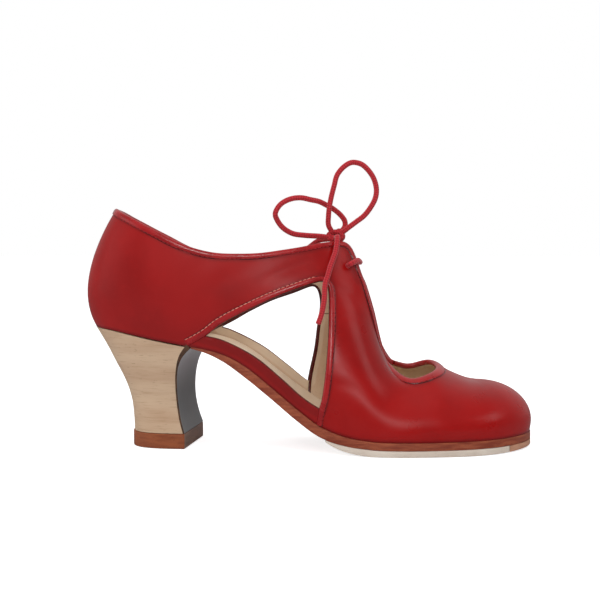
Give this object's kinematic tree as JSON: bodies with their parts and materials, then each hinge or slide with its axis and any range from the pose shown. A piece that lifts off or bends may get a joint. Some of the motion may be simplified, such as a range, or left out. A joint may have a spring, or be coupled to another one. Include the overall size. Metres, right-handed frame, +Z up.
{
  "type": "flamenco shoe",
  "caption": "Right flamenco dance shoe in red leather with side cut-outs, keyhole throat, round lace bow, pale wooden spool heel and tan sole.",
  "frame": {"origin": "middle of the shoe's underside on the floor, the lace left out", "axes": "+X towards the toe, +Y towards the inner side of the foot, +Z up"},
  "size_m": [0.241, 0.0812, 0.1538],
  "materials": {
    "red_leather": "smooth, satin",
    "sock_leather": "smooth, matte",
    "tan_leather": "smooth, waxed edge",
    "cream_rubber": "matte",
    "pale_wood": "bare, fine grain",
    "grey_cover": "smooth, satin",
    "red_cord": "round braid, matte"
  },
  "bodies": {
    "root": {"upper": "red_leather", "insole": "sock_leather", "outsole": "tan_leather", "half_sole": "cream_rubber", "toe_piece": "tan_leather", "heel_block": "pale_wood", "breast_cover": "grey_cover", "heel_lift": "tan_leather", "lace_bar": "red_cord", "lace_knot": "red_cord", "lace_loop_rear": "red_cord", "lace_loop_front": "red_cord", "lace_end_front": "red_cord", "lace_end_inner": "red_cord", "lace_strand_lateral": "red_cord", "lace_strand_medial": "red_cord"}
  },
  "joints": []
}
